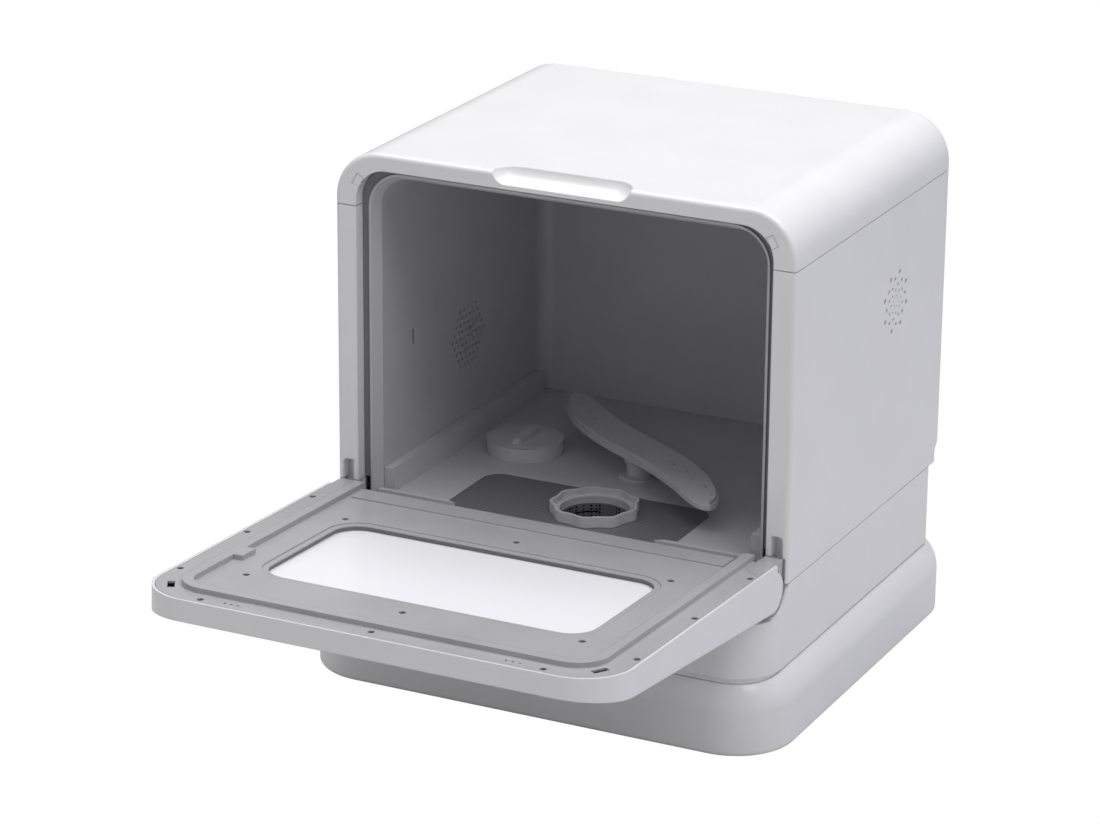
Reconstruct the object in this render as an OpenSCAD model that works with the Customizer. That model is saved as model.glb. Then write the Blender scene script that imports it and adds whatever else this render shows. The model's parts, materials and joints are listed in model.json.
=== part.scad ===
// Countertop dishwasher with its door open. Millimetres, +Z up, front towards -Y, +X to the
// right seen from the front. The origin is under the middle of the whole footprint.

/* [Case] */
// Width of the case
case_w = 400; // [396:1:404]
// Height from the table to the top
case_h = 440; // [438:1:444]
// Depth of the upper case
case_d = 327; // [325:1:331]
// Radius of the upper corners, seen from the front
corner_r = 40; // [36:1:42]
// Plastic wall
wall = 2.5; // [2.3:0.1:2.6]

/* [Base] */
// Width of the base
base_w = 420; // [416:1:424]
// How far the base stands out in front of the case
base_front = 54; // [53:1:56]
// How far the base reaches back from the front face
base_back = 346; // [342:1:350]
// Radius of the base's upright corners
base_r = 52; // [48:1:54]
// Radius of the roll on the base's upper edge
base_roll = 30; // [28:1:32]

/* [Door] */
// Slant of the door's outer face
door_slant = 3.49; // [3.3:0.01:3.6]
// Angle that the door has turned through when it is open
door_open = 87.2; // [85:0.1:88]
// Radius of the door's upper corners
door_r = 43; // [40:1:45]
// Width of the glass opening
window_w = 276; // [270:1:282]

/* [Tub] */
// Inner depth of the wash tub
tub_d = 299.5; // [298:0.5:301]
// Height of the tub floor over the table
floor_z = 148; // [147:0.5:149]
// Length of the spray arm, tip to tip
arm_len = 286; // [276:1:288]

/* [Hidden] */

fine = 96;                      // facets on round parts
gap = 0.2;                      // clearance between parts that only sit together
seam = 0.6;                     // shadow gap between casing shells
front_edge_r = 4;               // edge round on the front face
rear_edge_r = 10;               // round on the rear edges

// Heights of the case's seams
top_seam_z = case_h - 46;
low_seam_z = 139.5;
waist_z = 67;

// Front opening
open_w = case_w - 38;
open_top_z = case_h - 14;
open_r = 27;
frame_depth = 14;
pocket_top_z = 178;             // pockets in the frame beside the hinge covers

// Finger scoop in the top's front edge
grip_w = 120;
grip_deep = 20;                 // how far it reaches back
grip_drop = 10.3;
grip_r = 12;                    // round along its bottom edge

// Step in the rear where the upper case gives way to the lower body
step_high_z = low_seam_z + 24.5;
step_low_z = low_seam_z + 11.5;

// Lower body and its scooped chin
chin_y = -(base_front - 7);
chin_r = 40;
lower_back = case_d - 14;
lower_r = 15;
foot_h = 4;                     // height of the lower body's turned-in edge
chin_top_z = 116.8;             // upper edge of the chin
edge_scoop_r = 21.5;            // hollow's radius in the side walls, about the door's pivot
scoop_r = 31;                   // hollow's radius between the side walls

// Base
base_z = 8;
base_crest = 8.7;               // how far the roll's crest would rise over the seam
base_mid_y = (base_back - base_front) / 2;
base_len = base_back + base_front;
base_under_r = 4;
foot_inset = 15;

// Door, set out as if closed and then turned about its pivot
door_w = case_w - 2;
door_face_y = -1;               // inner face, closed
door_low_z = 136.5;             // lower edge of the inner panel, closed
pivot_y = -22.6;
pivot_z = 140.3;
tail_r = 16.3;                  // round tail of the outer shell, about the pivot
crown_z = case_h - 54;          // from here up the outer face is rounded over
crown_r = 634;
panel_t = 2;
window_z = door_low_z + 0.4883 * (case_h - door_low_z);  // middle of the glass opening, closed
window_h = 0.4613 * (case_h - door_low_z);
window_r = 22;
rib_out_w = case_w - 45;          // sealing rib round the inner panel, outer width
rib_top_z = case_h - 20;
rib_r = 27;
rib_w = 9;
rib_h = 4;
rib_low_z = door_low_z - 5;
block_x = case_w / 2 - 19;        // inner side of the outer shell's lower corner blocks
block_low_z = door_low_z - 16.3;
block_t = 12;                   // thickness of the hinge covers
door_edge_r = 1.5;
door_clear_x = case_w / 2 - wall - gap;
arm_x = case_w / 2 - 50;        // hinge brackets' mid plane
bracket_t = 3;
hinge_r = 2.5;                  // hinge pin
ear_r = 5.5;                    // metal round the hinge pin
catch_x = case_w / 2 - 20.5;
catch_z = case_h - 24.5;
strike_z = case_h - 27;
catch_turn = 29;
touch_w = 200;                  // touch panel in the outer face

// Tub
tub_w = case_w - 64;            // inner width
tub_front = 9;
mouth_y = 19;                   // the tub flares from here to its front edge
mouth_slope = 0.47;
tub_wall = 2;
tub_top_z = open_top_z - 10;
tub_back = tub_front + tub_d;
tub_r = 24;
ledge_h = 20;
ledge_w = 8;                    // at its upper edge

// Places of the pieces in the tub
filter_x = 8;
filter_y = 52.5;
cup_r = 33.5;
hub_x = 4;
hub_y = 146;
arm_z = floor_z + 20.5;         // underside of the arm's blades
arm_turn = -42;
salt_x = -108;
salt_y = 158;
neck_r = 32.5;
neck_bore_r = 26.5;
plate_x = -8;
plate_y = 54;
plate_w = 204;
plate_d = 90;
plate_t = 2;
tab_z = door_low_z + 183;       // tab on the left sealing rib
floor_t = 4.5;
under_z = floor_z - floor_t;    // underside of the tub floor

// Side vent
vent_y = 210;
vent_z = case_h - 129;
grid_y = 169;                   // air grid in the left wall of the tub
grid_z = floor_z + 90;

// Machine room
sump_r = 38.5;
sump_z = 92;
pump_z = 100;
drain_z = 98;
rear_fit_z = 102;               // height of the fittings in the rear wall
rear_fit_x = [70 - case_w / 2, 116 - case_w / 2, case_w / 2 - 68];  // drain, inlet, cord gland
rear_fit_r = [10.8, 13.2, 10.8];

// Outer face of the closed door at height z, moved in by inset
function door_out(z, inset = 0) = pivot_y - (tail_r - inset) / cos(door_slant)
    + (z - pivot_z) * tan(door_slant) + pow(max(z - crown_z, 0), 2) / (2 * crown_r);

// The origin lies under the middle of the whole footprint, door included
front_reach = pivot_y + (door_out(case_h) - pivot_y) * cos(door_open) - (case_h - pivot_z) * sin(door_open);
shift_y = -(front_reach + base_back) / 2;

white = "#f2f2f3";
inner_grey = "#a9a9ac";
tub_grey = "#6d6d71";
dark = "#38383b";
steel = "#b9bcc0";
black = "#1d1d20";

// ---------- shared shapes ----------

// Rounded rectangle about the origin
module round_rect(w, h, r) {
    square([w - 2 * r, h], center = true);
    square([w, h - 2 * r], center = true);
    for (x = [-1, 1], y = [-1, 1])
        translate([x * (w / 2 - r), y * (h / 2 - r)]) circle(r, $fn = fine);
}

// Half outline of a block's edge, from a corner's axis out to radius r, flared at the top if asked
module edge_profile(r, z0, z1, top_r, low_r, flare = 0, flare_h = 0) {
    if (flare > 0) polygon([[r - 0.1, z1 - flare_h], [r, z1 - flare_h], [r + flare, z1], [r - 0.1, z1]]);
    difference() {
        translate([0, z0]) square([r, z1 - z0]);
        if (top_r > 0) translate([r - top_r, z1 - top_r]) difference() {
            square(top_r + 1);
            circle(top_r, $fn = fine);
        }
        if (low_r > 0) translate([r - low_r, z0 + low_r]) difference() {
            translate([0, -low_r - 1]) square(low_r + 1);
            circle(low_r, $fn = fine);
        }
    }
}

// Block with round upright corners and rounded upper and lower edges
module soft_block(w, d, z0, z1, r, top_r = 0, low_r = 0, flare = 0, flare_h = 0) {
    for (c = [[1, 1, 0], [-1, 1, 90], [-1, -1, 180], [1, -1, 270]])
        translate([c[0] * (w / 2 - r), c[1] * (d / 2 - r), 0]) rotate([0, 0, c[2]])
            rotate_extrude(angle = 90, $fn = fine) edge_profile(r, z0, z1, top_r, low_r, flare, flare_h);
    for (s = [[0, w / 2 - r, d - 2 * r], [90, d / 2 - r, w - 2 * r],
              [180, w / 2 - r, d - 2 * r], [270, d / 2 - r, w - 2 * r]])
        rotate([0, 0, s[0]]) translate([s[1], s[2] / 2, 0]) rotate([90, 0, 0])
            linear_extrude(s[2]) edge_profile(r, z0, z1, top_r, low_r, flare, flare_h);
    translate([-(w / 2 - r), -(d / 2 - r), z0]) cube([w - 2 * r, d - 2 * r, z1 - z0]);
}

// A flat shape in X and Z, given depth from y0 to y1
module upright(y0, y1) {
    translate([0, y1, 0]) rotate([90, 0, 0]) linear_extrude(y1 - y0) children();
}

// A flat shape in Y and Z, given width from x0 to x1
module sideways(x0, x1) {
    translate([x0, 0, 0]) rotate([90, 0, 90]) linear_extrude(x1 - x0) children();
}

// Upright cylinder from z0 to z1
module post(r, z0, z1) {
    translate([0, 0, z0]) cylinder(r = r, h = z1 - z0, $fn = fine);
}

// Cylinder along X from x0 to x1, at y and z
module rod_x(r, x0, x1, y, z) {
    translate([x0, y, z]) rotate([0, 90, 0]) cylinder(r = r, h = x1 - x0, $fn = fine);
}

// Cylinder along Y from y0 to y1, at x and z
module rod_y(r, y0, y1, x, z) {
    translate([x, y0, z]) rotate([-90, 0, 0]) cylinder(r = r, h = y1 - y0, $fn = fine);
}

// Round tube of radius r swept along a list of points
function unit(v) = v / norm(v);
function path_dir(p, i) = unit(p[min(i + 1, len(p) - 1)] - p[max(i - 1, 0)]);
function side_of(d) = unit(cross(d, abs(d[2]) > 0.9 ? [1, 0, 0] : [0, 0, 1]));
function sides_of(p, i = 0, s = undef) = i >= len(p) ? []
    : let (d = path_dir(p, i), q = is_undef(s) ? side_of(d) : unit(s - (s * d) * d))
      concat([q], sides_of(p, i + 1, q));
module swept_tube(p, r, n = 10) {
    s = sides_of(p);
    m = len(p);
    pts = [for (i = [0 : m - 1]) let (d = path_dir(p, i), t = cross(d, s[i]))
        for (k = [0 : n - 1]) p[i] + r * (cos(360 * k / n) * s[i] + sin(360 * k / n) * t)];
    polyhedron(points = pts, faces = concat(
        [[for (k = [0 : n - 1]) n - 1 - k]],
        [[for (k = [0 : n - 1]) (m - 1) * n + k]],
        [for (i = [0 : m - 2], k = [0 : n - 1])
            [i * n + k, i * n + (k + 1) % n, (i + 1) * n + (k + 1) % n, (i + 1) * n + k]]), convexity = 4);
}
// Points of a smooth curve through a few corners
function bend(a, b, c, t) = (1 - t) * (1 - t) * a + 2 * t * (1 - t) * b + t * t * c;
function smooth(q, n = 6) = concat([q[0]],
    [for (i = [1 : len(q) - 2], k = [0 : n])
        bend((q[i - 1] + q[i]) / 2, q[i], (q[i] + q[i + 1]) / 2, k / n)], [q[len(q) - 1]]);

// The door's pieces are drawn closed and turned down to the open position
module door_pose() {
    translate([0, pivot_y, pivot_z]) rotate([door_open, 0, 0]) translate([0, -pivot_y, -pivot_z]) children();
}

// ---------- casing ----------

module case_form(inset = 0) {
    h = case_h;                     // runs on below the case, where it is cut off
    translate([0, 0, case_h / 2 - inset / 2]) rotate([90, 0, 0])
        translate([0, -inset / 2, 0])
            soft_block(case_w - 2 * inset, h, -(case_d - inset), -inset,
                       corner_r - inset, inset > 0 ? 0 : front_edge_r, rear_edge_r - inset);
}

module opening_outline(grow = 0) {
    low = low_seam_z - 30;
    h = open_top_z - low;
    translate([0, low + h / 2]) round_rect(open_w + 2 * grow, h + 2 * grow, open_r + grow);
}

module shell_walls() {
    difference() {
        case_form();
        case_form(wall);
        upright(-1, wall + 1) opening_outline();
        // rear panel's cut-out
        upright(case_d - wall - 1, case_d + 1) translate([0, (step_high_z + 8 + case_h - 17) / 2])
            round_rect(case_w - 48, case_h - 25 - step_high_z, 20);
    }
    // rim that turns in round the opening
    difference() {
        upright(0.6, frame_depth) opening_outline(wall);
        upright(0, frame_depth + 1) opening_outline();
    }
}

module slab(z0, z1) {
    translate([-case_w, -case_w, z0]) cube([2 * case_w, 2 * case_w + case_d, z1 - z0]);
}

module handle_scoop() {
    // long finger scoop across the top front edge
    soft_block(grip_w, 2 * grip_deep, case_h - grip_drop, case_h + 10, grip_deep, 0, grip_r);
}

module top_cover() {
    color(white) difference() {
        union() {
            intersection() {
                shell_walls();
                slab(top_seam_z + seam / 2, case_h + 1);
            }
            intersection() {
                case_form();
                translate([-grip_w / 2 - 3, 0.6, open_top_z + 0.5])
                    cube([grip_w + 6, grip_deep + 2, case_h - open_top_z - 1]);
            }
        }
        handle_scoop();
        for (x = [-1, 1]) catch_seat(x);
    }
}

// Seat for a door catch, turned a little, in an upper front corner
module catch_seat(x) {
    translate([x * catch_x, 0, catch_z]) rotate([0, -x * catch_turn, 0]) cube([6.8, 8, 10.4], center = true);
}

module side_vent_holes() {
    for (ring = [0 : 4], k = [0 : 7]) {
        r = 5 + 4.85 * ring;
        a = 29 + 45 * k + 22.5 * ring;
        translate([case_w / 2, vent_y + r * cos(a), vent_z + r * sin(a)])
            rotate([0, 90, 0]) cylinder(r = 0.8 + 0.34 * ring, h = 3 * wall, center = true, $fn = 16);
    }
}

// Everything behind the sloping step at the rear, moved forward by inset
module behind_step(inset) {
    sideways(-case_w, case_w) translate([-inset, 0])
        polygon([[case_d, step_high_z], [lower_back, step_low_z], [lower_back, low_seam_z - 5],
                 [case_d + 20, low_seam_z - 5], [case_d + 20, step_high_z]]);
}

// Pocket in the frame on the right, with a round upper corner, in X and Z
module pocket_outline(grow = 0) {
    x0 = block_x + 4.4 - grow;
    x1 = block_x + 14 + grow;
    z1 = pocket_top_z + grow;
    translate([x0, low_seam_z - 10]) square([x1 - x0, z1 - 4 - low_seam_z + 10]);
    translate([x0, z1 - 5]) square([x1 - x0 - 4, 5]);
    translate([x1 - 4, z1 - 4]) circle(4, $fn = fine);
}

module side_shell() {
    color(white) difference() {
        intersection() {
            union() {
                shell_walls();
                intersection() {
                    case_form();
                    behind_step(wall);
                }
                for (x = [0, 1]) mirror([x, 0, 0]) upright(1, 12) pocket_outline(1.4);
            }
            slab(low_seam_z + seam / 2, top_seam_z - seam / 2);
        }
        behind_step(0);
        side_vent_holes();
        // closed pockets beside the hinge covers
        for (x = [0, 1]) mirror([x, 0, 0]) upright(-1, 10.6) pocket_outline();
        // the sill stays clear of the door's tail
        translate([-door_clear_x, -1, low_seam_z - 1]) cube([2 * door_clear_x, 10.2, 22]);
    }
}

module rear_panel() {
    y0 = case_d - wall - gap;
    z0 = step_high_z + 2;
    z1 = case_h - 12;
    color(white) difference() {
        upright(y0 - wall, y0) translate([0, (z0 + z1) / 2]) round_rect(case_w - 32, z1 - z0, 28);
        for (z = [0 : 8]) upright(y0 - wall - 1, y0 + 1) translate([0, 330 + 8 * z]) round_rect(120, 3, 1.4);
    }
}

module rear_screw_places() {
    for (x = [-1, 1], z = [step_high_z + 12, (case_h + low_seam_z) / 2, case_h - 36])
        translate([x * (case_w / 2 - 17.5), case_d, z]) children();
}

module screw_y(r) {
    // pan head towards +Y
    translate([0, 0.02, 0]) rotate([-90, 0, 0]) difference() {
        cylinder(r1 = 2 * r, r2 = 1.5 * r, h = 1.4 * r, $fn = 32);
        for (a = [0, 90]) rotate([0, 0, a]) translate([-1.1 * r, -0.2 * r, 0.7 * r]) cube([2.2 * r, 0.4 * r, r]);
    }
}

module rear_screws() {
    color(steel) rear_screw_places() screw_y(1.8);
}

module lower_plan(inset = 0) {
    // plan of the lower body: wide front corners, tighter rear corners
    w = case_w - 2 * inset;
    y0 = chin_y + inset;
    y1 = lower_back - inset;
    rf = chin_r - inset;
    rb = lower_r - inset;
    translate([0, (y0 + rf + y1 - rb) / 2]) square([w, y1 - rb - y0 - rf], center = true);
    translate([-(w / 2 - rf), y0]) square([w - 2 * rf, rf + 1]);
    translate([-(w / 2 - rb), y1 - rb - 1]) square([w - 2 * rb, rb + 1]);
    for (x = [-1, 1]) {
        translate([x * (w / 2 - rf), y0 + rf]) circle(rf, $fn = fine);
        translate([x * (w / 2 - rb), y1 - rb]) circle(rb, $fn = fine);
    }
}

// Side view of the hollow that the door's tail turns in: round about the pivot, with a straight
// slope up to the case and open to the front over the chin
module scoop_cut(r, front_z) {
    top = low_seam_z + 10;
    slope = 39;                     // where the slope leaves the circle, below the horizontal
    foot = [pivot_y + r * cos(slope), pivot_z - r * sin(slope)];
    translate([pivot_y, pivot_z]) circle(r, $fn = fine);
    polygon([[pivot_y, front_z + 1], foot, [foot[0] + (top - foot[1]) * tan(slope), top], [pivot_y, top]]);
    translate([chin_y - 30, front_z]) square([pivot_y - chin_y + 30, top - front_z]);
}

// The same hollow between the side walls, with an upright back
module deep_scoop(grow = 0) {
    r = scoop_r + grow;
    translate([pivot_y, pivot_z]) circle(r, $fn = fine);
    translate([pivot_y - r, pivot_z]) square([2 * r, 30]);
}

module lower_body() {
    color(white) difference() {
        union() {
            translate([0, 0, waist_z + foot_h]) linear_extrude(low_seam_z - seam / 2 - waist_z - foot_h) lower_plan();
            translate([0, 0, waist_z]) linear_extrude(foot_h + 1) lower_plan(2);
        }
        difference() {
            union() {
                translate([0, 0, waist_z - 1]) linear_extrude(low_seam_z) lower_plan(wall + 2);
                translate([0, 0, waist_z + foot_h + 1]) linear_extrude(low_seam_z) lower_plan(wall);
            }
            // wall of the hollow
            sideways(-case_w, case_w) deep_scoop(wall);
        }
        sideways(-case_w, case_w) scoop_cut(edge_scoop_r, chin_top_z);
        intersection() {
            sideways(-case_w, case_w) deep_scoop();
            translate([0, 0, waist_z]) linear_extrude(low_seam_z) lower_plan(wall);
        }
        for (k = [0 : 2]) rod_y(rear_fit_r[k] + 0.4, lower_back - 10, lower_back + 1, rear_fit_x[k], rear_fit_z);
    }
}

module base_housing() {
    top_z = waist_z - gap;
    color(white) difference() {
        translate([0, base_mid_y, 0]) soft_block(base_w, base_len, base_z, waist_z + base_crest, base_r, base_roll, base_under_r);
        translate([0, base_mid_y, 0])
            soft_block(base_w - 2 * wall, base_len - 2 * wall, base_z + wall, waist_z + base_crest - wall, base_r - wall,
                       base_roll - wall, base_under_r - wall);
        // flat seat for the lower body, and the way through to the machine room
        translate([0, 0, top_z]) linear_extrude(20) lower_plan(2 - gap);
        translate([0, 0, waist_z + foot_h - gap]) linear_extrude(20) lower_plan(-gap);
        translate([0, 0, top_z - 20]) linear_extrude(40) lower_plan(12);
    }
    // ledge that carries the lower body
    color(white) difference() {
        translate([0, 0, top_z - wall]) linear_extrude(wall) lower_plan(1.2);
        translate([0, 0, top_z - 20]) linear_extrude(40) lower_plan(12);
    }
}

module foot_plate() {
    color(white) difference() {
        translate([0, base_mid_y, 0])
            soft_block(base_w - 2 * foot_inset - 14, base_len - 2 * foot_inset, 1.6, base_z - 0.01, 44, 0, 2);
        foot_places() post(12.2, 0, base_z + 1);
    }
}

module foot_places() {
    for (x = [-1, 1], y = [-1, 1])
        translate([x * (base_w / 2 - 58), base_mid_y + y * (base_len / 2 - 58), 0]) children();
}

module rubber_feet() {
    color(dark) foot_places() post(12, 0, base_z - 0.02);
}

// ---------- tub ----------

module tub_form(grow, front) {
    low = floor_z - 60;
    h = tub_top_z + grow - low;
    depth = max(mouth_y - front, 0);
    translate([0, 0, low + h / 2]) rotate([90, 0, 0])
        soft_block(tub_w + 2 * grow, h, -(tub_back + grow), -front, tub_r + grow, 0, 12 + grow, mouth_slope * depth, depth);
}

// Hexagon of round holes, in Y and Z about the origin, through to +X
module hex_holes(x0, x1, pitch, rings, r) {
    for (i = [-rings : rings], j = [-rings : rings]) if (abs(i + j) <= rings)
        rod_x(r, x0, x1, pitch * (i + j / 2), pitch * j * 0.866);
}

module tub() {
    flange_y = frame_depth + gap;
    color(tub_grey) difference() {
        union() {
            tub_form(tub_wall, tub_front);
            // flange that is screwed up behind the frame
            difference() {
                upright(flange_y, flange_y + tub_wall) opening_outline(5);
                translate([-case_w, -1, 0]) cube([2 * case_w, case_d, floor_z + 34]);
                translate([-grip_w / 2 - 4, -1, open_top_z]) cube([grip_w + 8, case_d, 20]);
            }
        }
        tub_form(0, tub_front - 1);
        translate([-case_w, -1, 0]) cube([2 * case_w, case_d, floor_z]);
        // air grids in both side walls
        translate([0, grid_y, grid_z]) hex_holes(-case_w / 2, -tub_w / 2 + 1, 7, 4, 1.9);
        translate([0, vent_y, vent_z]) hex_holes(tub_w / 2 - 1, case_w / 2, 7.6, 3, 2.1);
        // slot of the air break
        translate([-case_w / 2, 70, 259]) cube([case_w / 2 - tub_w / 2 + 1, 4, 13]);
    }
}

module plate_outline(grow = 0) {
    translate([plate_x, plate_y]) round_rect(plate_w + 2 * grow, plate_d + 2 * grow, 16 + grow);
}

module tub_floor() {
    y0 = tub_front;
    d = tub_back + tub_wall - y0;
    color(tub_grey) difference() {
        union() {
            translate([0, y0 + d / 2, under_z]) linear_extrude(floor_t) round_rect(tub_w + 2 * tub_wall, d, 3);
            // side ledges that the rack runs on
            for (x = [-1, 1]) translate([x * (tub_w / 2 - gap - ledge_w / 2), 0, 0])
                mirror([x < 0 ? 1 : 0, 0, 0]) upright(20, tub_back - 14)
                    polygon([[-ledge_w / 2, floor_z + ledge_h], [ledge_w / 2, floor_z + ledge_h],
                             [ledge_w / 2, floor_z - 1], [-ledge_w / 2 - 2, floor_z - 1]]);
            // sill across the front
            translate([-tub_w / 2 + gap, y0, under_z]) cube([tub_w - 2 * gap, 4, floor_t + 5]);
            // raised seat round the spray post
            translate([hub_x, hub_y, 0]) post(17, floor_z - 1, floor_z + 2);
        }
        translate([0, 0, floor_z - plate_t - gap]) linear_extrude(10) plate_outline(gap);
        translate([filter_x, filter_y, 0]) post(sump_r - 3, under_z - 1, floor_z + 1);
        translate([hub_x, hub_y, 0]) post(8.2, under_z - 1, floor_z + 3);
        translate([salt_x, salt_y, 0]) post(neck_r + gap, under_z - 1, floor_z + 1);
    }
}

module tub_gasket() {
    color(black) difference() {
        upright(frame_depth - 3.6, frame_depth - 0.6) opening_outline(-0.4);
        tub_form(tub_wall + 0.4, tub_front - 1);
        translate([-case_w, -5, 0]) cube([2 * case_w, 40, floor_z + 14]);
    }
}

module spray_post() {
    color(dark) translate([hub_x, hub_y, 0]) {
        difference() {
            union() {
                post(8, under_z - 16, floor_z + 3);
                post(11, floor_z + 2, arm_z - 7);
                post(13, arm_z - 7, arm_z - 4);
                post(6, arm_z - 5, arm_z + 4);
            }
            post(4, under_z - 17, arm_z + 5);
            rod_x(6.4, 0, 9, 0, under_z - 9);
        }
    }
}

// Outline of the spray arm: two blades swept like a propeller's, with blunt tips
arm_half = arm_len / 2;
function blade_half(t) = (12 + 7 * cos(80 * t)) * sqrt(1 - pow(abs(t), 9));
function blade_sweep(t) = 8.5 * sin(178 * t);
function arm_edge(side, inset) = [for (i = [-48 : 48]) let (t = i / 48 * side)
    [t * (arm_half - inset), blade_sweep(t) + side * (max(blade_half(t) - inset, 0.3))]];

module spray_arm() {
    top = 7.4;
    color(inner_grey) translate([hub_x, hub_y, 0]) rotate([0, 0, arm_turn]) difference() {
        union() {
            translate([0, 0, arm_z]) linear_extrude(4.4) polygon(concat(arm_edge(1, 0), arm_edge(-1, 0)));
            translate([0, 0, arm_z + 4]) linear_extrude(top - 4)
                polygon(concat(arm_edge(1, 1.6), arm_edge(-1, 1.6)));
            post(12, arm_z - 3.6, arm_z + 0.5);
        }
        post(6.06, arm_z - 5, arm_z + 4.5);
        // jets along both blades
        for (s = [-1, 1], k = [0 : 5]) translate([s * (34 + 19 * k), s * (11 - 3 * (k % 2)), arm_z + top - 2])
            cylinder(r = 1.5, h = 5, $fn = 24);
    }
}

module filter_plate() {
    color(dark) difference() {
        translate([0, 0, floor_z - plate_t]) linear_extrude(plate_t) plate_outline();
        translate([filter_x, filter_y, 0]) post(cup_r, floor_z - 5, floor_z + 5);
    }
}

// Wavy ring round the cup
function wavy(r) = [for (a = [0 : 3 : 357]) let (q = r + 1.3 * cos(9 * a)) [q * cos(a), q * sin(a)]];

module filter_cup() {
    color(inner_grey) translate([filter_x, filter_y, 0]) difference() {
        union() {
            translate([0, 0, floor_z + 0.3]) linear_extrude(9) polygon(wavy(cup_r + 2));
            post(cup_r - 0.08, floor_z - 9, floor_z + 1);
        }
        translate([0, 0, floor_z + 4]) linear_extrude(9) polygon(wavy(cup_r - 0.4));
        post(cup_r - 5, floor_z - 10, floor_z + 10);
    }
}

module filter_sleeve() {
    r = cup_r - 5.1;
    color(steel) translate([filter_x, filter_y, 0]) difference() {
        post(r, sump_z + 14, floor_z - 2);
        post(r - 1.2, sump_z + 16, floor_z);
        for (z = [0 : 5], a = [0 : 3]) translate([0, 0, sump_z + 21 + 5 * z]) rotate([0, 0, 90 * a + 45])
            translate([r - 4, -13, 0]) cube([8, 26, 1.6]);
    }
}

module salt_tank() {
    color(tub_grey) translate([salt_x, salt_y, 0]) difference() {
        union() {
            post(neck_r + 9, sump_z - 4, under_z - gap);
            post(neck_r, under_z - 1, floor_z + 12);
        }
        post(neck_bore_r, sump_z, floor_z + 13);
        // alignment notch
        translate([-4, -neck_r - 1, floor_z + 7]) cube([4, 2.2, 6]);
        rod_y(5.2, neck_r, neck_r + 10, 18, sump_z + 12);
    }
}

module salt_cap() {
    color(tub_grey) translate([salt_x, salt_y, 0]) {
        difference() {
            post(neck_bore_r - 0.08, floor_z - 2, floor_z + 12.4);
            post(neck_bore_r - 3, floor_z - 3, floor_z + 9);
        }
        // bar grip with round ends
        rotate([0, 0, 90]) for (z = [0, 1]) translate([0, 0, floor_z + 12.3 + 2.4 * z])
            linear_extrude(z == 0 ? 2.5 : 2) round_rect(42 - 3 * z, 9.4 - 2 * z, 4.6 - z);
    }
}

// ---------- machine room ----------

module sump() {
    color(black) translate([filter_x, filter_y, 0]) difference() {
        union() {
            post(sump_r, sump_z, under_z - gap);
            post(sump_r + 6, under_z - 4, under_z - gap);
            rod_x(11, 30, 46, 0, pump_z);
            rod_x(8, -46, -30, 0, drain_z);
        }
        post(sump_r - 2.5, sump_z + 2.5, under_z + 1);
        rod_x(8.5, 30, 47, 0, pump_z);
        rod_x(5.5, -47, -30, 0, drain_z);
        for (y = [-9, 9]) translate([-24, y, 0]) post(3.1, sump_z - 1, sump_z + 3);
    }
}

module heater() {
    ring_r = sump_r - 6.4;
    color(steel) translate([filter_x, filter_y, 0]) {
        translate([0, 0, sump_z + 7]) rotate_extrude($fn = fine) translate([ring_r, 0]) circle(2.6, $fn = 32);
        for (y = [-9, 9]) translate([-24, y, 0]) post(3, sump_z - 12, sump_z + 8);
    }
}

// Pump with its motor along X, away from the sump
module pump_case(x0, side, z, volute_r, volute_w, motor_r, motor_l, shaft_r) {
    translate([x0, filter_y, z]) mirror([side < 0 ? 1 : 0, 0, 0]) difference() {
        union() {
            rod_x(volute_r, 0, volute_w, 0, 0);
            rod_x(motor_r * 0.6, volute_w - 1, volute_w + 5, 0, 0);
            rod_x(motor_r, volute_w + 4, volute_w + 4 + motor_l, 0, 0);
            translate([volute_w + 12, -motor_r * 0.7, -motor_r - 2])
                cube([motor_l - 16, motor_r * 1.4, motor_r]);
            // outlet
            translate([volute_w / 2, 0, 0]) rotate([-90, 0, 0])
                cylinder(r = volute_w / 2 - 1, h = volute_r + 8, $fn = fine);
        }
        rod_x(volute_r - 2.5, 2.5, volute_w - 2.5, 0, 0);
        rod_x(volute_r * 0.32, -1, 4, 0, 0);
        rod_x(shaft_r + 0.05, volute_w - 4, volute_w + motor_l - 6, 0, 0);
        translate([volute_w / 2, 0, 0]) rotate([-90, 0, 0])
            cylinder(r = volute_w / 2 - 3, h = volute_r + 9, $fn = fine);
    }
}

module pump_wheel(x0, side, z, wheel_r, volute_w, shaft_r, shaft_l, vanes) {
    color(inner_grey) translate([x0, filter_y, z]) mirror([side < 0 ? 1 : 0, 0, 0]) {
        rod_x(wheel_r, volute_w - 6, volute_w - 4, 0, 0);
        rod_x(shaft_r, volute_w - 10, volute_w - 4 + shaft_l, 0, 0);
        rod_x(shaft_r + 3, volute_w - 11, volute_w - 5, 0, 0);
        for (k = [0 : vanes - 1]) rotate([360 * k / vanes, 0, 0])
            translate([volute_w - 11, shaft_r + 1, -0.9]) rotate([-18, 0, 0]) cube([5.5, wheel_r - shaft_r - 5, 1.8]);
    }
}

wash_x = filter_x + 46.2;
drain_x = filter_x - 46.2;

module wash_pump() {
    color(dark) pump_case(wash_x, 1, pump_z, 26, 18, 30, 56, 3);
}

module wash_impeller() {
    pump_wheel(wash_x, 1, pump_z, 20, 18, 3, 48, 7);
}

module drain_pump() {
    color(dark) pump_case(drain_x, -1, drain_z, 18, 15, 19, 34, 2);
}

module drain_impeller() {
    pump_wheel(drain_x, -1, drain_z, 12, 15, 2, 28, 4);
}

module pump_mounts() {
    // rubber blocks under the motors
    low = base_z + wall;
    color(black) {
        for (x = [wash_x + 38, wash_x + 62]) translate([x, filter_y, 0]) post(9, low, pump_z - 32 - 0.02);
        translate([drain_x - 34, filter_y, 0]) post(8, low, drain_z - 21 - 0.02);
    }
}

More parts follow.
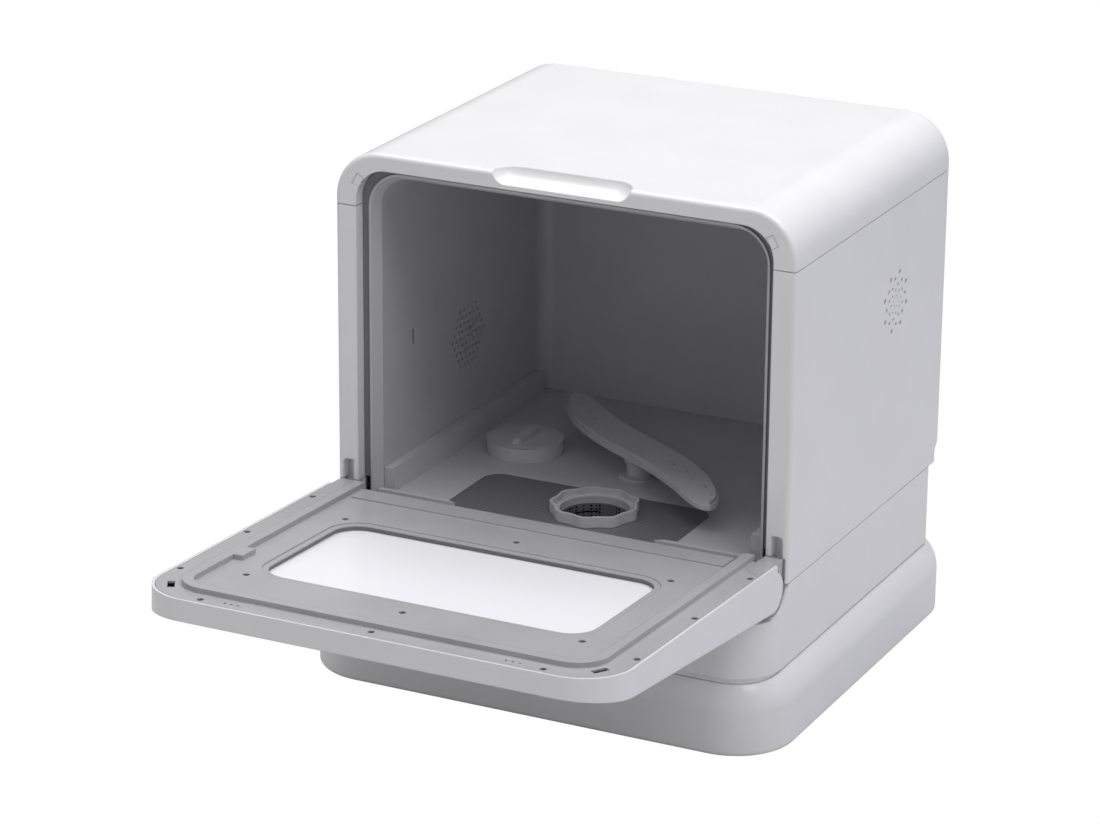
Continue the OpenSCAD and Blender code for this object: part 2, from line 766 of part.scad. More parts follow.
module feed_hose() {
    z = under_z - 9;
    x = wash_x + 9;
    y = filter_y + 34.2;
    color(black) swept_tube(smooth([[x, y, pump_z], [x, y + 22, pump_z], [x - 6, hub_y, z - 6],
        [hub_x + 28, hub_y, z], [hub_x + 9.2, hub_y, z]]), 6, 12);
}

module drain_hose() {
    x = drain_x - 7.5;
    y = filter_y + 26.2;
    color(black) swept_tube(smooth([[x, y, drain_z], [x, y + 20, drain_z], [x, 190, 79], [-90, 222, 79],
        [rear_fit_x[0], 236, 82], [rear_fit_x[0], 268, rear_fit_z], [rear_fit_x[0], lower_back - 14.4, rear_fit_z]], 5),
        6.5, 12);
}

// Fitting through a hole in the lower body's rear wall
module rear_fitting(k, out) {
    r = rear_fit_r[k];
    rod_y(r, lower_back - 14, lower_back + out, rear_fit_x[k], rear_fit_z);
    rod_y(r + 3.5, lower_back + 0.02, lower_back + 3, rear_fit_x[k], rear_fit_z);
}

module drain_outlet() {
    x = rear_fit_x[0];
    color(dark) difference() {
        union() {
            rear_fitting(0, 14);
            for (k = [0 : 2]) translate([x, lower_back + 6 + 3 * k, rear_fit_z]) rotate([-90, 0, 0])
                cylinder(r1 = 11.8, r2 = 10.6, h = 2.4, $fn = fine);
        }
        rod_y(7, lower_back - 15, lower_back + 15, x, rear_fit_z);
    }
}

module inlet_valve() {
    x = rear_fit_x[1];
    color(white) difference() {
        union() {
            rear_fitting(1, 15);
            translate([x - 15, lower_back - 40, rear_fit_z - 14]) cube([30, 27, 28]);
            translate([x, lower_back - 27, 0]) post(10, rear_fit_z + 13, rear_fit_z + 32);
            rod_y(5, lower_back - 50, lower_back - 39, x, rear_fit_z);
        }
        rod_y(8, lower_back - 8, lower_back + 16, x, rear_fit_z);
    }
}

module inlet_hose() {
    x = rear_fit_x[1];
    color(black) swept_tube(smooth([[x, lower_back - 50.2, rear_fit_z], [x, 226, rear_fit_z],
        [salt_x + 18, 216, sump_z + 12], [salt_x + 18, salt_y + neck_r + 9.2, sump_z + 12]]), 4.6, 12);
}

module cord_gland() {
    x = rear_fit_x[2];
    color(black) difference() {
        union() {
            rear_fitting(2, 8);
            rod_y(7, lower_back + 3, lower_back + 18, x, rear_fit_z);
        }
        rod_y(3.6, lower_back - 15, lower_back + 19, x, rear_fit_z);
    }
}

module power_board() {
    x0 = 6;
    y = lower_back - wall - 8;
    color("#2f6b3f") translate([x0, y, 76]) cube([96, 1.6, 52]);
    color(dark) {
        for (k = [0 : 2]) translate([x0 + 10 + 26 * k, y - 16, 90]) cube([18, 16, 20]);
        for (k = [0 : 2]) translate([x0 + 14 + 30 * k, 0, 0]) rod_y(6, y - 20, y, 0, 119);
    }
    // stand-offs against the rear wall
    color(steel) for (x = [6, 90], z = [6, 46]) rod_y(2.5, y + 1.6, lower_back - wall - 0.02, x0 + x, 76 + z);
}

module float_guide() {
    low = base_z + wall;
    color(dark) translate([-150, 40, 0]) difference() {
        post(14, low, low + 40);
        post(11, low - 1, low + 30);
        for (a = [0, 90]) rotate([0, 0, a]) translate([-15, -3, low - 1]) cube([30, 6, 9]);
        post(2.1, low + 29, low + 36);
    }
}

module leak_float() {
    low = base_z + wall;
    color(white) translate([-150, 40, 0]) {
        post(10.9, low + 0.3, low + 14);
        post(2, low + 13, low + 22);
    }
}

module fan_housing() {
    x0 = tub_w / 2 + tub_wall + 0.4;
    x1 = case_w / 2 - wall - 2;
    color(dark) difference() {
        union() {
            rod_x(38, x0, x1, vent_y, vent_z);
            translate([x0, vent_y - 38, vent_z - 62]) cube([x1 - x0, 30, 62]);
        }
        rod_x(35, x0 + 2, x1 - 2, vent_y, vent_z);
        rod_x(22, x1 - 3, x1 + 1, vent_y, vent_z);
        rod_x(8, x0 - 1, x0 + 3, vent_y, vent_z);
        translate([x0 + 2, vent_y - 36, vent_z - 63]) cube([x1 - x0 - 4, 26, 63]);
        hex = 7.6;
        translate([0, vent_y, vent_z]) hex_holes(x0 - 1, x0 + 3, hex, 3, 2.1);
    }
}

module fan_motor() {
    x0 = tub_w / 2 + tub_wall + 0.4;
    color(black) difference() {
        rod_x(7.9, x0, x0 + 7, vent_y, vent_z);
        rod_x(1.55, x0 + 2, x0 + 8, vent_y, vent_z);
    }
}

module fan_wheel() {
    x0 = tub_w / 2 + tub_wall + 0.4;
    color(black) {
        rod_x(1.5, x0 + 3, x0 + 10, vent_y, vent_z);
        rod_x(10, x0 + 9, x0 + 16, vent_y, vent_z);
        rod_x(31, x0 + 8, x0 + 9.5, vent_y, vent_z);
        translate([x0 + 9, vent_y, vent_z]) for (k = [0 : 15]) rotate([22.5 * k, 0, 0])
            translate([0, 20, -0.7]) rotate([35, 0, 0]) cube([8, 9, 1.4]);
    }
}

module air_duct() {
    x0 = tub_w / 2 + tub_wall + 0.4;
    x1 = case_w / 2 - wall - 2;
    z1 = vent_z - 62.2;
    color(dark) difference() {
        translate([x0, vent_y - 40, z1 - 70]) cube([x1 - x0, 34, 70]);
        translate([x0 + 2, vent_y - 38, z1 - 71]) cube([x1 - x0 - 4, 30, 72]);
    }
}

module exhaust_duct() {
    x1 = -tub_w / 2 - tub_wall - 0.4;
    x0 = -case_w / 2 + wall + 2;
    color(dark) difference() {
        translate([x0, grid_y - 38, grid_z - 76]) cube([x1 - x0, 76, 114]);
        translate([x0 + 2, grid_y - 36, grid_z - 77]) cube([x1 - x0 - 4, 72, 113]);
        rod_x(32, x1 - 3, x1 + 1, grid_y, grid_z);
    }
}

// ---------- door hinge ----------

module catch_magnets() {
    color(steel) for (x = [-1, 1]) translate([x * catch_x, 1.9, catch_z])
        rotate([0, -x * catch_turn, 0]) cube([6.6, 3, 10.2], center = true);
}

// Bracket round the pin, with a leg that slopes down and back to a curved pad in the hollow
bracket_turn = -45;
module bracket_outline() {
    pad_r = scoop_r - 0.05;
    translate([pivot_y, pivot_z]) {
        circle(ear_r, $fn = fine);
        rotate(bracket_turn) {
            translate([0, -3.5]) square([pad_r - 0.8, 7]);
            intersection() {
                difference() {
                    circle(pad_r, $fn = fine);
                    circle(pad_r - 1.6, $fn = fine);
                }
                translate([0, -6]) square([pad_r, 12]);
            }
        }
    }
}

module hinge_brackets() {
    color(dark) for (x = [-1, 1]) difference() {
        union() {
            sideways(x * arm_x - bracket_t / 2, x * arm_x + bracket_t / 2) bracket_outline();
            // pad against the wall of the hollow
            intersection() {
                sideways(x * arm_x - 8, x * arm_x + 8) bracket_outline();
                sideways(x * arm_x - 9, x * arm_x + 9) difference() {
                    translate([pivot_y, pivot_z]) circle(scoop_r, $fn = fine);
                    translate([pivot_y, pivot_z]) circle(scoop_r - 1.65, $fn = fine);
                }
            }
        }
        rod_x(hinge_r + 0.02, x * arm_x - 10, x * arm_x + 10, pivot_y, pivot_z);
    }
}

module hinge_pins() {
    color(steel) for (x = [-1, 1]) rod_x(hinge_r, x * arm_x - 8, x * arm_x + 8, pivot_y, pivot_z);
}

spring_r = 3.6;
spring_x = arm_x - 15;
function coil(x0, pitch, turns, n) = [for (i = [0 : turns * n])
    [x0 + pitch * i / n, pivot_y + spring_r * cos(360 * i / n), pivot_z + spring_r * sin(360 * i / n)]];

module hinge_springs() {
    color(steel) for (x = [-1, 1]) mirror([x < 0 ? 1 : 0, 0, 0])
        swept_tube(concat([[spring_x, pivot_y + spring_r, pivot_z - 9], [spring_x, pivot_y + spring_r, pivot_z - 3]],
                          coil(spring_x, 1.5, 4, 12)), 0.6, 6);
}

// ---------- door, drawn closed ----------

// Flat outline of the door with round upper corners, open far below the lower edge
module door_outline(inset) {
    h = case_h;
    translate([0, case_h - h / 2]) round_rect(door_w - 2 * inset, h - 2 * inset, door_r - inset);
}

// Side view of the door: upright inner face, slanting outer face and a round tail about the pivot
module door_side(inset, back) {
    low = door_low_z + inset;
    top = case_h - inset;
    r = tail_r - inset;
    a0 = asin((low - pivot_z) / r);
    sweep = 180 + door_slant + a0;
    polygon(concat([[back, low]],
                   [for (k = [0 : 40]) let (a = a0 - sweep * k / 40) [pivot_y + r * cos(a), pivot_z + r * sin(a)]],
                   [for (k = [0 : 9]) let (z = crown_z + (top - crown_z) * k / 9) [door_out(z, inset), z]],
                   [[back, top]]));
}

module door_form(inset, back) {
    half = door_w / 2 - inset;
    r = door_r - inset;
    difference() {
        sideways(-half, half) door_side(inset, back);
        // round upper corners
        for (x = [0, 1]) mirror([x, 0, 0]) upright(-60, 10) difference() {
            translate([half - r, case_h - inset - r]) square(r + 1);
            translate([half - r, case_h - inset - r]) circle(r, $fn = fine);
        }
    }
}

module window_outline(grow) {
    translate([0, window_z]) round_rect(window_w + 2 * grow, window_h + 2 * grow, window_r + grow);
}

// Door screws, as distances in from the case's side and down from its top
outer_screws = [[7.8, 265.3], [7.4, 162], [7.6, 61.6], [57, 8.8]];
inner_screws = [[58, 74.6], [58, 229.3]];
mid_screws = [13, 61.3, 248.7];
module sided_screws(places) {
    for (p = places, x = [-1, 1]) translate([x * (case_w / 2 - p[0]), 0, case_h - p[1]]) children();
}
module door_screw_places() {
    sided_screws(concat(outer_screws, inner_screws)) children();
    for (z = mid_screws) translate([0, 0, case_h - z]) children();
}

module strike_slots(size) {
    for (x = [-1, 1]) translate([x * catch_x, door_face_y, strike_z]) rotate([0, -x * catch_turn, 0])
        cube(size, center = true);
}

// Lower corners of the door, where its outer shell comes through to the inner face
module corner_blocks(grow) {
    seam_z = door_low_z + 20.1;
    slope = 0.713;
    for (x = [0, 1]) mirror([x, 0]) polygon([[block_x - grow, block_low_z - 30], [block_x - grow, seam_z + grow],
        [door_w, seam_z + grow + slope * (door_w - block_x)], [door_w, block_low_z - 30]]);
}

module door_outer() {
    panel_back = door_face_y - panel_t - gap;
    color(white) door_pose() difference() {
        door_form(0, door_face_y);
        // hollow behind the inner panel
        difference() {
            door_form(wall, panel_back + 0.5);
            sided_screws(outer_screws) rod_y(3.2, -50, panel_back - 0.4, 0, 0);
            // tunnel round the window
            upright(-50, door_face_y - 9.5) difference() {
                window_outline(17);
                window_outline(14.6);
            }
        }
        // seat of the inner panel and of the hinge covers
        upright(panel_back, door_face_y + 5) door_outline(wall - 0.1);
        upright(door_face_y - block_t - gap, door_face_y + 5) intersection() {
            corner_blocks(0);
            door_outline(wall - 0.05);
        }
        upright(-60, -20) window_outline(14);
        // recess for the touch panel
        on_slant() translate([-touch_w / 2 - gap, -1, case_h - 44]) cube([touch_w + 2 * gap, 2.2, 28]);
        // slots that the hinge brackets come through
        for (x = [-1, 1]) sideways(x * arm_x - 2.2, x * arm_x + 2.2) slot_sector();
        door_screw_places() rod_y(1.35, door_face_y - 9.5, door_face_y, 0, 0);
    }
}

// Way of the bracket's leg through the tail, from shut to open
module slot_sector() {
    translate([pivot_y, pivot_z]) difference() {
        intersection() {
            circle(tail_r + 1, $fn = fine);
            polygon([for (a = [0, -14, -50, -90, -130, -166]) a == 0 ? [0, 0] : 60 * [cos(a), sin(a)]]);
        }
        circle(tail_r - wall - 4, $fn = fine);
    }
}

// Pieces on the outer face are drawn upright on y = 0 and leaned onto it
module on_slant() {
    translate([0, door_out(crown_z), crown_z]) rotate([-door_slant, 0, 0]) translate([0, 0, -crown_z]) children();
}

module hinge_covers() {
    color(inner_grey) door_pose() difference() {
        intersection() {
            upright(door_face_y - block_t, door_face_y) difference() {
                corner_blocks(0);
                translate([-case_w, 0]) square([2 * case_w, block_low_z]);
            }
            upright(-30, 5) door_outline(wall + gap);
            union() {
                rod_x(scoop_r - 0.6, -case_w, case_w, pivot_y, pivot_z);
                slab(pivot_z, case_h);
            }
        }
        rod_x(tail_r + gap, -case_w, case_w, pivot_y, pivot_z);
        sided_screws(outer_screws) rod_y(3.6, -30, door_face_y - panel_t - 0.6, 0, 0);
    }
}

module rib_outline(inset) {
    w = rib_out_w - 2 * inset;
    h = rib_top_z - door_low_z + 100;
    translate([0, rib_top_z - h / 2]) round_rect(w, h - 2 * inset, rib_r - inset);
}

module below(z) {
    translate([-case_w, -case_w, z - case_h]) cube([2 * case_w, 2 * case_w, case_h]);
}

module door_inner() {
    y1 = door_face_y;
    y0 = y1 - panel_t;
    color(inner_grey) door_pose() difference() {
        union() {
            difference() {
                intersection() {
                    upright(y0, y1) door_outline(wall + gap);
                    slab(door_low_z, case_h);
                }
                upright(y0 - 1, y1 + 1) corner_blocks(gap);
            }
            // sealing rib round three sides, hollow behind
            difference() {
                upright(y0, y1 + rib_h) difference() {
                    rib_outline(0);
                    rib_outline(rib_w);
                }
                below(rib_low_z);
            }
            // stiffener behind the tab in the left rib
            translate([-rib_out_w / 2 + rib_w - 1, y0, tab_z]) cube([9, panel_t + rib_h, 20]);
            // collar round the glass
            upright(y1 - 9, y0 + 0.5) difference() {
                window_outline(10);
                window_outline(8);
            }
        }
        upright(y0 - 1, y1 + rib_h - panel_t) difference() {
            rib_outline(panel_t);
            rib_outline(rib_w - panel_t);
            translate([-case_w, 0]) square([2 * case_w, door_low_z + panel_t]);
        }
        upright(y0 - 1, y1 + 1) window_outline(0);
        // shallow step round the window
        upright(y1 - 1, y1 + 1) window_outline(5);
        door_screw_places() rod_y(2.7, y0 - 1, y1 + 1, 0, 0);
        strike_slots([5.6, 12, 13.6]);
        for (x = [-1, 1], k = [-1, 0, 1]) translate([x * (case_w / 2 - 82.5) + 5.6 * k, 0, case_h - 11]) rod_y(1.1, y0 - 1, y1 + 1, 0, 0);
    }
}

module door_glass() {
    color([0.85, 0.88, 0.9, 0.35]) door_pose() upright(door_face_y - 8.4, door_face_y - 5.4) window_outline(7.6);
}

module window_seal() {
    color(dark) door_pose() upright(door_face_y - 5.3, door_face_y - panel_t - 0.1) difference() {
        window_outline(7.6);
        window_outline(1);
    }
}

module front_glass() {
    color([0.3, 0.32, 0.34, 0.5]) door_pose() on_slant() upright(0.1, wall) window_outline(13.6);
}

module sill_seal() {
    color(inner_grey) door_pose()
        translate([-block_x + 17, door_face_y + 0.02, door_low_z + 3]) cube([2 * block_x - 34, 1.2, 22]);
}

module door_screws() {
    color(dark) door_pose() door_screw_places() difference() {
        union() {
            rod_y(2.4, door_face_y - 2.6, door_face_y - 1, 0, 0);
            rod_y(1.3, door_face_y - 9, door_face_y - 2.5, 0, 0);
        }
        for (a = [0, 90]) rotate([0, a, 0]) translate([-1.7, door_face_y - 1.6, -0.4]) cube([3.4, 2, 0.8]);
    }
}

module strike_plates() {
    color(black) door_pose() for (x = [-1, 1]) translate([x * catch_x, door_face_y - 5, strike_z])
        rotate([0, -x * catch_turn, 0]) cube([5.4, 2, 13.4], center = true);
}

// Steel cheeks inside the door, one on each side of a bracket, that turn on the pin
module hinge_arms() {
    color(steel) door_pose() for (x = [-1, 1], s = [-1, 1]) difference() {
        sideways(x * arm_x + s * 4 - 0.9, x * arm_x + s * 4 + 0.9) {
            translate([pivot_y, pivot_z]) circle(ear_r, $fn = fine);
            translate([pivot_y - ear_r, pivot_z]) square([2 * ear_r, 44]);
        }
        rod_x(hinge_r + 0.05, x * arm_x - 6, x * arm_x + 6, pivot_y, pivot_z);
    }
}

module touch_panel() {
    color(black) door_pose() on_slant() translate([-touch_w / 2, 0.1, case_h - 43.8]) cube([touch_w, 1, 27.6]);
}

module control_board() {
    color("#2f6b3f") door_pose() on_slant() {
        translate([-80, wall + 1.2, case_h - 42]) cube([160, 1.6, 24]);
        for (k = [0 : 3]) translate([-66 + 36 * k, wall + 2.7, case_h - 36]) cube([14, 3, 12]);
    }
}

// ---------- every piece, with the origin under the footprint ----------

module placed() {
    translate([0, shift_y, 0]) children();
}

placed() base_housing();
placed() foot_plate();
placed() rubber_feet();
placed() lower_body();
placed() side_shell();
placed() top_cover();
placed() rear_panel();
placed() rear_screws();
placed() tub();
placed() tub_floor();
placed() tub_gasket();
placed() spray_post();
placed() spray_arm();
placed() filter_plate();
placed() filter_cup();
placed() filter_sleeve();
placed() salt_tank();
placed() salt_cap();
placed() sump();
placed() wash_pump();
placed() wash_impeller();
placed() drain_pump();
placed() drain_impeller();
placed() heater();
placed() pump_mounts();
placed() feed_hose();
placed() drain_hose();
placed() inlet_valve();
placed() inlet_hose();
placed() drain_outlet();
placed() cord_gland();
placed() power_board();
placed() float_guide();
placed() leak_float();
placed() fan_housing();
placed() fan_motor();
placed() fan_wheel();
placed() air_duct();
placed() exhaust_duct();
placed() catch_magnets();
placed() hinge_brackets();
placed() hinge_pins();
placed() hinge_springs();
placed() door_outer();
placed() door_inner();
placed() door_glass();
placed() front_glass();
placed() window_seal();
placed() sill_seal();
placed() door_screws();
placed() hinge_covers();
placed() hinge_arms();
placed() strike_plates();
placed() control_board();
placed() touch_panel();
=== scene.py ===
import json
import math

import bmesh
import bpy
from mathutils import Matrix, Vector


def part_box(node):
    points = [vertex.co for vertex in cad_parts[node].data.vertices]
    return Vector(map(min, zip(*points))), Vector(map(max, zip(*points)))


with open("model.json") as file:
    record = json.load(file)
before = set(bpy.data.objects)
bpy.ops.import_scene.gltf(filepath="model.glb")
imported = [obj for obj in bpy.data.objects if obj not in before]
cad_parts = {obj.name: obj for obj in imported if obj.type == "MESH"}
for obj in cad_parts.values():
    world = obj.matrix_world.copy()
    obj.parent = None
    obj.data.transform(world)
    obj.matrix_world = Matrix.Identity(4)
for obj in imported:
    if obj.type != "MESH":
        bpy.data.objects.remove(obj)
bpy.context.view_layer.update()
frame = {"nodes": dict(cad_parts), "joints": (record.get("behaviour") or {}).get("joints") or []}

nodes = frame["nodes"]
scene = bpy.context.scene


# ---------- Camera ----------
# A long lens, high on the right in front of the open door. Its place is measured from the
# front face of the case and from its top.

PIVOT_FROM_FRONT = 0.0226      # the hinge axis lies this far before the case's front face
door_hinge = next(j for j in frame["joints"] if j["name"] == "door_hinge")
front_y = door_hinge["pos_m"][1] + PIVOT_FROM_FRONT    # front face of the case
case_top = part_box("top_cover")[1].z

LENS_MM = 132.69
SENSOR_MM = 36.0
camera_right = Vector((0.8956, 0.4448, 0.0075))
camera_up = Vector((-0.1552, 0.2966, 0.9423))
camera_place = Vector((1.32999, -2.71061 + front_y, 0.88195 + case_top))

camera = bpy.data.objects.new("camera", bpy.data.cameras.new("camera"))
scene.collection.objects.link(camera)
camera.data.lens = LENS_MM
camera.data.sensor_width = SENSOR_MM
right = camera_right.normalized()
back = right.cross(camera_up).normalized()
up = back.cross(right)
turn = Matrix((right, up, back)).transposed().to_4x4()
camera.matrix_world = Matrix.Translation(camera_place) @ turn
scene.camera = camera


# ---------- Studio ----------
# A white room: soft light from all round, a large lamp overhead that nearly burns out the
# top of the case, a smaller one high on the right, and a weak bluish one behind on the right.

def linear(hex_colour):
    """sRGB hex to a linear RGBA tuple."""
    parts = [int(hex_colour[i:i + 2], 16) / 255 for i in (1, 3, 5)]
    return tuple(c / 12.92 if c <= 0.04045 else ((c + 0.055) / 1.055) ** 2.4 for c in parts) + (1.0,)


def add(tree, kind, links=(), **settings):
    """One node with its socket values or attributes, and links given as (socket, source)."""
    made = tree.nodes.new(kind)
    sockets = {s.name.lower().replace(" ", "_"): s for s in made.inputs if s.enabled}
    for key, value in settings.items():
        if key in sockets:
            sockets[key].default_value = value
        else:
            setattr(made, key, value)
    for socket, source in links:
        tree.links.new(source, made.inputs[socket])
    return made


def seen_or_through(tree):
    """1 where a surface is seen by the camera, straight or through glass."""
    ray = add(tree, "ShaderNodeLightPath")
    return add(tree, "ShaderNodeMath", operation="MAXIMUM",
               links=((0, ray.outputs["Is Camera Ray"]), (1, ray.outputs["Is Transmission Ray"]))).outputs[0]


scene.view_settings.view_transform = "Standard"
scene.view_settings.look = "None"

ROOM_LIGHT = 0.44
world = bpy.data.worlds.new("white_room")
scene.world = world
world.use_nodes = True
room = world.node_tree
room.nodes.clear()
glow = add(room, "ShaderNodeBackground", color=linear("#ffffff"), strength=1.0)
fill = add(room, "ShaderNodeBackground", color=linear("#f6f6f8"), strength=ROOM_LIGHT)
both = add(room, "ShaderNodeMixShader",
           links=((0, seen_or_through(room)), (1, fill.outputs[0]), (2, glow.outputs[0])))
add(room, "ShaderNodeOutputWorld", links=(("Surface", both.outputs[0]),))


def area_light(name, place, target, size, power, colour):
    """A rectangular lamp at a place, turned to a target; metres and watts."""
    lamp = bpy.data.lights.new(name, "AREA")
    lamp.shape = "RECTANGLE"
    lamp.size, lamp.size_y = size
    lamp.energy = power
    lamp.color = linear(colour)[:3]
    holder = bpy.data.objects.new(name, lamp)
    scene.collection.objects.link(holder)
    holder.location = place
    holder.rotation_euler = (Vector(target) - Vector(place)).to_track_quat("-Z", "Y").to_euler()


area_light("overhead", (0.0, 0.2, 2.2), (0, 0, 0.3), (2.4, 2.0), 39, "#ffffff")
area_light("right_high", (1.9, -0.9, 2.6), (0.1, 0, 0.1), (1.2, 1.2), 14, "#ffffff")
area_light("right_low", (2.6, 0.7, 0.9), (0, 0.1, 0.2), (1.4, 1.4), 3.5, "#7a7aff")

# The table is white paper, just under the feet.
FLOOR_SIZE = 12.0
FLOOR_DROP = 0.0005
floor_mesh = bmesh.new()
bmesh.ops.create_grid(floor_mesh, x_segments=1, y_segments=1, size=FLOOR_SIZE / 2)
floor_data = bpy.data.meshes.new("studio_floor")
floor_mesh.to_mesh(floor_data)
floor_mesh.free()
floor = bpy.data.objects.new("studio_floor", floor_data)
scene.collection.objects.link(floor)
floor.location.z = -FLOOR_DROP
paper = bpy.data.materials.new("white_backdrop_paper")
paper.use_nodes = True
sheet = paper.node_tree
sheet.nodes.clear()
bright = add(sheet, "ShaderNodeEmission", color=linear("#ffffff"), strength=1.0)
matt = add(sheet, "ShaderNodeBsdfDiffuse", color=linear("#c8c8c8"))
mixed = add(sheet, "ShaderNodeMixShader",
            links=((0, seen_or_through(sheet)), (1, matt.outputs[0]), (2, bright.outputs[0])))
add(sheet, "ShaderNodeOutputMaterial", links=(("Surface", mixed.outputs[0]),))
floor_data.materials.append(paper)


# ---------- Casing ----------
# The outer shells are injection-moulded ABS in white, semi-gloss, with a trace of
# moulding grain and slightly uneven gloss. Their edges are broken by a small round.

GLOSS_SCALE = 18.0         # texture scale of the uneven gloss, some centimetres across
TONE_START = 0.35          # where in the noise the darker tone ends
TONE_END = 0.65            # and where the lighter one begins
EDGE_SAMPLES = 6
SHARP_ANGLE = math.radians(30)


def principled(name, colour, **settings):
    """A material with one Principled shader; gives the material, its tree and the shader."""
    made = bpy.data.materials.new(name)
    made.use_nodes = True
    tree = made.node_tree
    tree.nodes.clear()
    shader = add(tree, "ShaderNodeBsdfPrincipled", base_color=linear(colour), **settings)
    add(tree, "ShaderNodeOutputMaterial", links=(("Surface", shader.outputs[0]),))
    return made, tree, shader


def set_ramp(node, *stops):
    """Sets a colour ramp's stops, each given as (position, sRGB hex)."""
    for element, (position, colour) in zip(node.color_ramp.elements, stops):
        element.position = position
        element.color = linear(colour)


def grain(tree, shader, size_mm, depth_mm, gloss=(0.3, 0.4), tone=None, edge_mm=0.0):
    """Fine moulded grain of the given size, gloss that varies over some centimetres, and rounded edges."""
    where = add(tree, "ShaderNodeTexCoord")
    fine = add(tree, "ShaderNodeTexNoise", links=(("Vector", where.outputs["Object"]),),
               scale=1000 / size_mm, detail=3.0)
    bump = add(tree, "ShaderNodeBump", links=(("Height", fine.outputs["Fac"]),),
               strength=1.0, distance=depth_mm / 1000)
    if edge_mm:
        edge = add(tree, "ShaderNodeBevel", samples=EDGE_SAMPLES, radius=edge_mm / 1000)
        tree.links.new(edge.outputs[0], bump.inputs["Normal"])
    tree.links.new(bump.outputs[0], shader.inputs["Normal"])
    wide = add(tree, "ShaderNodeTexNoise", links=(("Vector", where.outputs["Object"]),),
               scale=GLOSS_SCALE, detail=2.0)
    spread = add(tree, "ShaderNodeMapRange", links=(("Value", wide.outputs["Fac"]),),
                 to_min=gloss[0], to_max=gloss[1])
    tree.links.new(spread.outputs[0], shader.inputs["Roughness"])
    if tone:
        shade = add(tree, "ShaderNodeValToRGB", links=(("Fac", wide.outputs["Fac"]),))
        set_ramp(shade, (TONE_START, tone[0]), (TONE_END, tone[1]))
        tree.links.new(shade.outputs[0], shader.inputs["Base Color"])


def finish(material, *names):
    """Gives CAD pieces their material, shaded smooth between sharp edges."""
    for n in names:
        mesh = nodes[n].data
        mesh.materials.clear()
        mesh.materials.append(material)
        for face in mesh.polygons:
            face.use_smooth = True
        mesh.set_sharp_from_angle(angle=SHARP_ANGLE)


white_abs, tree, shader = principled("moulded_white_abs", "#ebebec", ior=1.53,
                                     coat_weight=0.6, coat_roughness=0.16)
grain(tree, shader, size_mm=0.8, depth_mm=0.01, gloss=(0.3, 0.38), tone=("#eaeaeb", "#ededee"), edge_mm=1.6)
finish(white_abs, "base_housing", "foot_plate", "lower_body", "side_shell", "top_cover", "rear_panel",
       "door_outer", "catch_magnets")


# ---------- Tub ----------
# The wash tub and its floor are moulded polypropylene in mid grey, satin. The spray arm, its
# post, the filter cup and the salt tank with its cap are the same plastic, a little lighter.

grey_pp, tree, shader = principled("moulded_grey_polypropylene", "#c0c0c3", ior=1.49)
grain(tree, shader, size_mm=1.0, depth_mm=0.012, gloss=(0.3, 0.4), tone=("#bebec1", "#c2c2c5"), edge_mm=1.0)
finish(grey_pp, "tub", "tub_floor")

fitting_pp, tree, shader = principled("moulded_light_grey_polypropylene", "#c2c2c4", ior=1.49)
grain(tree, shader, size_mm=0.8, depth_mm=0.01, gloss=(0.32, 0.42), tone=("#c0c0c2", "#c5c5c7"), edge_mm=0.8)
finish(fitting_pp, "spray_post", "spray_arm", "filter_cup", "salt_tank", "salt_cap")


# ---------- Seals, feet and hoses ----------
# Feet, pump mounts and hoses are EPDM rubber, matt and nearly black. The tub's gasket and the
# window's seal are grey silicone, smoother than the rubber.

epdm, tree, shader = principled("moulded_epdm_rubber", "#3a3a3c", ior=1.5)
grain(tree, shader, size_mm=0.6, depth_mm=0.02, gloss=(0.6, 0.75))
finish(epdm, "rubber_feet", "pump_mounts", "feed_hose", "drain_hose", "inlet_hose")

silicone, tree, shader = principled("moulded_grey_silicone", "#7c7c7e", ior=1.43)
grain(tree, shader, size_mm=0.6, depth_mm=0.01, gloss=(0.45, 0.55), tone=("#7a7a7c", "#7e7e80"))
finish(silicone, "tub_gasket", "window_seal")


# ---------- Filters ----------
# The plate and the sleeve are perforated stainless sheet, etched with round holes. The holes
# are drawn at a coarse pitch so that they show. They are colour only, and cut no geometry.

mesh_steel, tree, shader = principled("etched_stainless_mesh", "#a2a2a6", metallic=0.6)
grain(tree, shader, size_mm=0.8, depth_mm=0.02, gloss=(0.45, 0.55))
HOLE_PITCH_MM = 3.0
HOLE_EDGE = 0.30           # distance from a hole's middle, in pitches, where its dark ends
HOLE_RIM = 0.42            # and where the bright metal begins
where = add(tree, "ShaderNodeTexCoord")
cells = add(tree, "ShaderNodeTexVoronoi", links=(("Vector", where.outputs["Object"]),),
            scale=1000 / HOLE_PITCH_MM, randomness=0.0)
holes = add(tree, "ShaderNodeValToRGB", links=(("Fac", cells.outputs["Distance"]),))
set_ramp(holes, (HOLE_EDGE, "#1e1e20"), (HOLE_RIM, "#949498"))
tree.links.new(holes.outputs[0], shader.inputs["Base Color"])
finish(mesh_steel, "filter_plate", "filter_sleeve")


# ---------- Machine room ----------
# Pumps, fan, ducts and sump are black polyamide. The float, the valve and the impellers are
# white polypropylene, screws, hinge parts and heater steel, and the boards carry green lacquer.

black_pa, tree, shader = principled("moulded_black_polyamide", "#2c2c2e", ior=1.53)
grain(tree, shader, size_mm=0.8, depth_mm=0.02, gloss=(0.4, 0.55))
finish(black_pa, "wash_pump", "drain_pump", "drain_outlet", "float_guide", "fan_housing", "air_duct",
       "exhaust_duct", "sump", "fan_motor", "fan_wheel", "cord_gland")

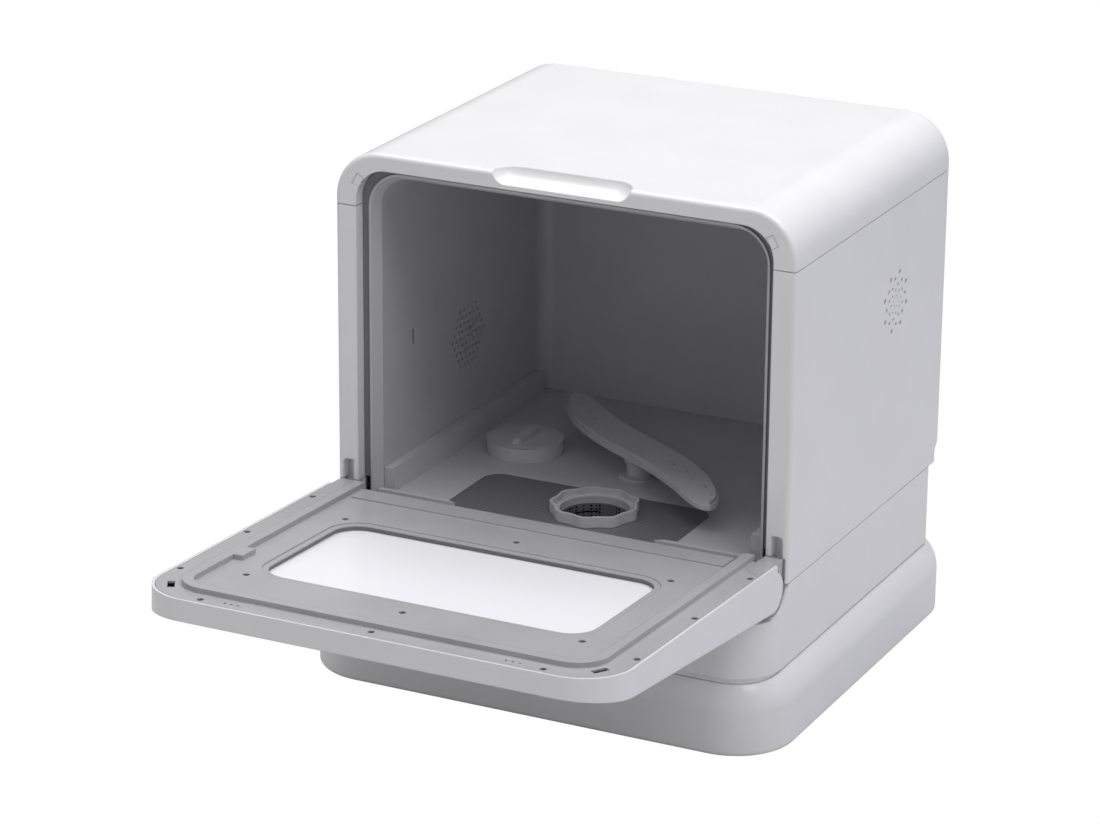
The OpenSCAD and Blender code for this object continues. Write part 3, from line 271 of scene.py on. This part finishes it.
white_pp, tree, shader = principled("moulded_white_polypropylene", "#e2e2e0", ior=1.49)
grain(tree, shader, size_mm=0.8, depth_mm=0.01, gloss=(0.4, 0.5))
finish(white_pp, "leak_float", "inlet_valve", "wash_impeller", "drain_impeller")

zinc_steel, tree, shader = principled("zinc_plated_steel", "#b4b6b8", metallic=1.0)
grain(tree, shader, size_mm=0.5, depth_mm=0.01, gloss=(0.28, 0.42))
finish(zinc_steel, "rear_screws", "heater", "hinge_pins", "hinge_springs", "hinge_arms", "hinge_brackets")

black_steel, tree, shader = principled("black_oxide_steel", "#5a5a5c", metallic=0.8)
grain(tree, shader, size_mm=0.5, depth_mm=0.01, gloss=(0.4, 0.5))
finish(black_steel, "door_screws", "strike_plates")

lacquer, tree, shader = principled("green_solder_lacquer", "#1f5a34", ior=1.5)
grain(tree, shader, size_mm=1.5, depth_mm=0.02, gloss=(0.2, 0.35))
finish(lacquer, "power_board", "control_board")


# ---------- Door ----------
# The outer shell is the same white ABS as the case. The inner panel, its rib and the corner
# covers are grey ABS. Two panes close the window, and a bare black touch strip lies outside.

panel_abs, tree, shader = principled("moulded_grey_abs", "#b0b0b2", ior=1.53)
grain(tree, shader, size_mm=0.8, depth_mm=0.01, gloss=(0.2, 0.28), tone=("#aeaeb0", "#b2b2b4"), edge_mm=1.0)
finish(panel_abs, "door_inner", "sill_seal", "hinge_covers")

touch_pc, tree, shader = principled("black_polycarbonate_film", "#101012", ior=1.58)
grain(tree, shader, size_mm=1.2, depth_mm=0.004, gloss=(0.1, 0.18))
finish(touch_pc, "touch_panel")

# The inner pane is satin white all through and lets nothing show behind it.
satin_glass, tree, shader = principled("satin_etched_glass", "#f6f6fa", ior=1.5)
grain(tree, shader, size_mm=0.5, depth_mm=0.002, gloss=(0.16, 0.22))
finish(satin_glass, "door_glass")

clear_glass, tree, shader = principled("clear_toughened_glass", "#ffffff", ior=1.5, roughness=0.02,
                                       transmission_weight=1.0)
finish(clear_glass, "front_glass")
